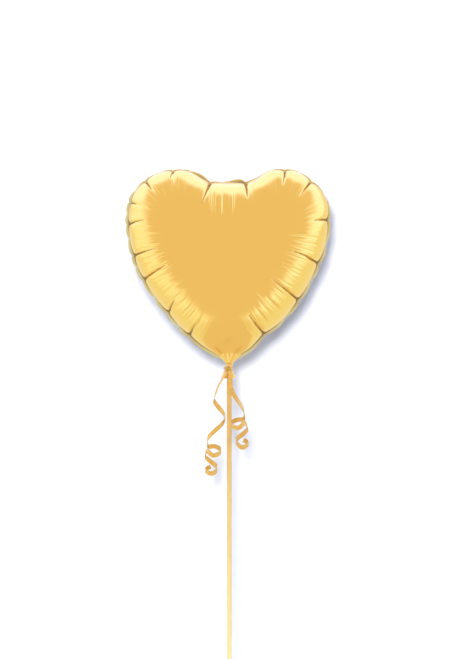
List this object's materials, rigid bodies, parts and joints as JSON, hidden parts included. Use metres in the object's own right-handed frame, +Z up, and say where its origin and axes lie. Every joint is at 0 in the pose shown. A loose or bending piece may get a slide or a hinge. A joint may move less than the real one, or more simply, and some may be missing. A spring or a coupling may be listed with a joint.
{
  "type": "heart-shaped foil balloon on a stick",
  "caption": "Gold heart-shaped foil balloon, air filled, tied by its neck to a straight hollow plastic stick with curling ribbon whose two ends hang in curls.",
  "frame": {"origin": "centre of the stick's foot, where it ends below", "axes": "+Z up along the stick; -Y is the balloon's front; +X is to the right when seen from the front"},
  "size_m": [0.2056, 0.0828, 0.5977],
  "materials": {
    "gold_foil": "metallised polymer film, tinted gold, satin mirror with heat-welded pleated seam",
    "valve_film": "thin clear polyethylene film",
    "stick_plastic": "extruded polypropylene tube, pale gold, slightly glossy",
    "ribbon": "embossed polypropylene curling ribbon, gold, finely ribbed along its length"
  },
  "bodies": {
    "stick": {"balloon_stick": "stick_plastic"},
    "tie": {"front_foil_tail": "gold_foil", "rear_foil_tail": "gold_foil", "ribbon_wrap": "ribbon", "ribbon_knot": "ribbon"},
    "neck": {"front_foil_neck": "gold_foil", "rear_foil_neck": "gold_foil"},
    "balloon": {"front_foil_panel": "gold_foil", "rear_foil_panel": "gold_foil", "valve_front_film": "valve_film", "valve_rear_film": "valve_film"},
    "left_ribbon": {"left_ribbon_lead": "ribbon", "left_ribbon_curl": "ribbon"},
    "right_ribbon": {"right_ribbon_lead": "ribbon", "right_ribbon_curl": "ribbon"}
  },
  "joints": [
    {"name": "neck_twist", "type": "hinge", "parent": "stick", "child": "tie", "pos_m": [0, 0, 0.3975], "axis": [0, 0, 1], "range_deg": [-90, 90]},
    {"name": "neck_sway", "type": "hinge", "parent": "tie", "child": "neck", "pos_m": [0, 0, 0.4005], "axis": [0, 1, 0], "range_deg": [-18, 18], "stiffness_Nm_per_rad": 0.06},
    {"name": "balloon_nod", "type": "hinge", "parent": "neck", "child": "balloon", "pos_m": [0, 0, 0.4038], "axis": [1, 0, 0], "range_deg": [-18, 18], "stiffness_Nm_per_rad": 0.06},
    {"name": "left_ribbon_swing", "type": "hinge", "parent": "tie", "child": "left_ribbon", "pos_m": [-0.0046, -0.007, 0.3926], "axis": [0, 1, 0], "range_deg": [-1.5, 30], "stiffness_Nm_per_rad": 0.004},
    {"name": "right_ribbon_swing", "type": "hinge", "parent": "tie", "child": "right_ribbon", "pos_m": [0.0012, -0.007, 0.3926], "axis": [0, -1, 0], "range_deg": [-1.5, 30], "stiffness_Nm_per_rad": 0.004}
  ]
}
